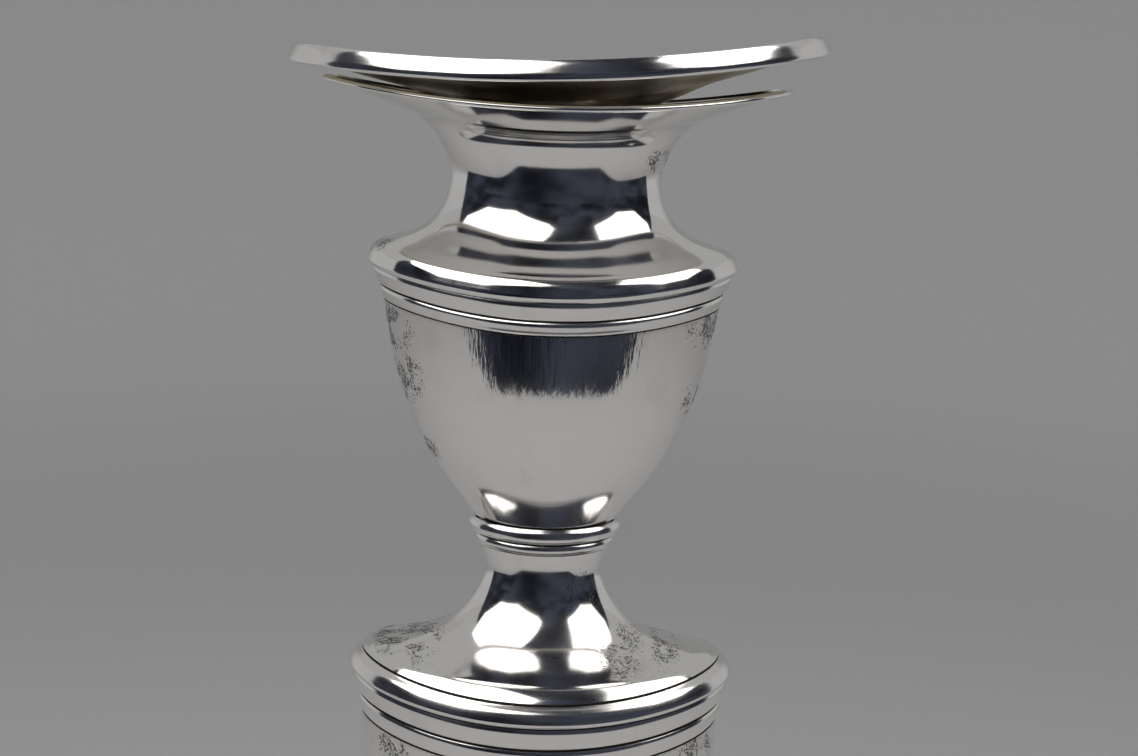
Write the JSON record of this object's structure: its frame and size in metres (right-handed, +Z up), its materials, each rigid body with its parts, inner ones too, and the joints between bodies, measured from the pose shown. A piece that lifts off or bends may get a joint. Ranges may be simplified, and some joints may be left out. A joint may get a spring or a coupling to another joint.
{
  "type": "altar candlestick",
  "caption": "Oval loaded silver altar candlestick with an urn-shaped socket, reeded bands, a tapering column and a lift-off nozzle with a drip pan.",
  "frame": {"origin": "on the table, under the middle of the foot", "axes": "+Z up along the stem; X along the long side of the oval; -Y is the front, the broad face"},
  "size_m": [0.1448, 0.0956, 0.307],
  "materials": {
    "silver": "polished silver with tarnish in the grooves",
    "steel": "plain steel",
    "pitch_fill": "rough cast pitch",
    "base_iron": "blackened sheet iron",
    "baize": "felted wool"
  },
  "bodies": {
    "stick": {"socket_rim_wire": "silver", "socket_flare": "silver", "socket_shoulder": "silver", "socket_plate": "silver", "candle_cup": "silver", "urn_reeded_band": "silver", "urn_body": "silver", "collar_bead": "silver", "collar_ring": "silver", "stem_neck": "silver", "column_reeded_band": "silver", "column_shell": "silver", "ankle_bead": "silver", "ankle_ring": "silver", "foot_shell": "silver", "foot_reeded_border": "silver", "foot_rim_band": "silver", "urn_support_disc": "steel", "tie_rod": "steel", "top_nut": "steel", "top_washer": "steel", "bottom_nut": "steel", "bottom_washer": "steel", "foot_weight": "pitch_fill", "base_plate": "base_iron", "baize_pad": "baize"},
    "nozzle": {"nozzle_pan": "silver", "nozzle_rim_wire": "silver", "nozzle_tube": "silver"}
  },
  "joints": [
    {"name": "nozzle_lift", "type": "slide", "parent": "stick", "child": "nozzle", "axis": [0, 0, 1], "range_m": [0, 0.045]}
  ]
}
